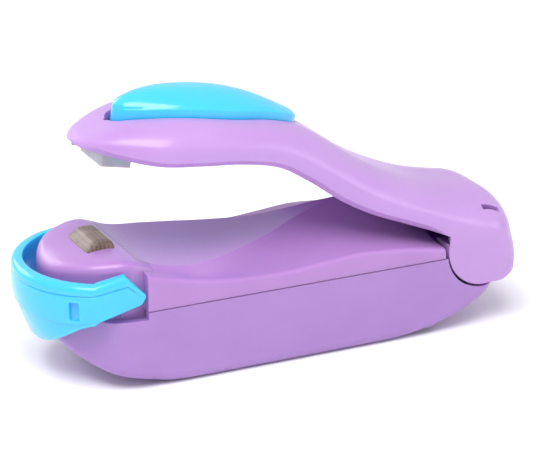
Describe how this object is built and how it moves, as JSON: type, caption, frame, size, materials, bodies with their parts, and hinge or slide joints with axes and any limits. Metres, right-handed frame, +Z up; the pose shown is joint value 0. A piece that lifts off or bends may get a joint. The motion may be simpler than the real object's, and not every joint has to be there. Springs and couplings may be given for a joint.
{
  "type": "handheld bag heat sealer",
  "caption": "Small boat-shaped handheld sealer with a sprung arm, a press pad, facing heater and silicone jaws and a swinging lock, for closing plastic bags with heat.",
  "frame": {"origin": "on the resting face, under the middle of the body", "axes": "+X runs back along the body towards the hinge, with the jaws at -X; +Z is up; Y is the width"},
  "size_m": [0.1208, 0.038, 0.0635],
  "materials": {
    "base_plastic": "glossy, translucent tinted",
    "deck_plastic": "glossy",
    "arm_plastic": "glossy",
    "blue_plastic": "glossy, translucent tinted",
    "black_plastic": "matt",
    "silicone": "soft, half clear",
    "cloth": "woven glass cloth, coated",
    "ceramic": "matt",
    "strip_metal": "bright",
    "brass": "satin",
    "spring_steel": "nickel plated",
    "screw_steel": "zinc plated",
    "cell_jacket": "satin",
    "lead_red": "satin",
    "lead_black": "satin"
  },
  "bodies": {
    "base": {"base_lower_shell": "base_plastic", "base_upper_shell": "deck_plastic", "shell_screws": "screw_steel", "aa_cell_left": "cell_jacket", "aa_cell_right": "cell_jacket", "bridge_contact": "spring_steel", "contact_plus": "spring_steel", "contact_minus": "spring_steel", "battery_springs": "spring_steel", "heater_block": "ceramic", "heating_strip": "strip_metal", "heater_cloth": "cloth", "heater_terminals": "brass", "heater_screws": "screw_steel", "switch_block": "black_plastic", "switch_leaf": "brass", "switch_contact": "brass", "lead_bridge_to_heater": "lead_black", "lead_heater_to_switch": "lead_red", "lead_plus_to_switch": "lead_red", "hinge_pin": "screw_steel", "return_spring": "spring_steel"},
    "arm": {"arm_shell": "arm_plastic", "jaw_plate": "blue_plastic", "silicone_block": "silicone", "pad_springs": "spring_steel", "switch_plunger": "arm_plastic"},
    "press_pad": {"press_pad": "blue_plastic"},
    "lock": {"safety_lock": "blue_plastic"},
    "battery_cover": {"battery_cover": "base_plastic"}
  },
  "joints": [
    {"name": "arm_hinge", "type": "hinge", "parent": "base", "child": "arm", "pos_m": [0.0486, 0, 0.0196], "axis": [0, -1, 0], "range_deg": [0, 10.85], "stiffness_Nm_per_rad": 0.06, "springref_deg": -20.05, "deforming": ["return_spring"]},
    {"name": "lock_pivot", "type": "hinge", "parent": "base", "child": "lock", "pos_m": [-0.04, 0, 0.0245], "axis": [0, 1, 0], "range_deg": [0, 40]},
    {"name": "pad_press", "type": "slide", "parent": "arm", "child": "press_pad", "axis": [-0.1891, 0, -0.982], "range_m": [0, 0.001], "stiffness_N_per_m": 400, "springref_m": -0.0015, "deforming": ["pad_springs"]},
    {"name": "battery_cover_slide", "type": "slide", "parent": "base", "child": "battery_cover", "axis": [1, 0, 0], "range_m": [0, 0.06]}
  ]
}
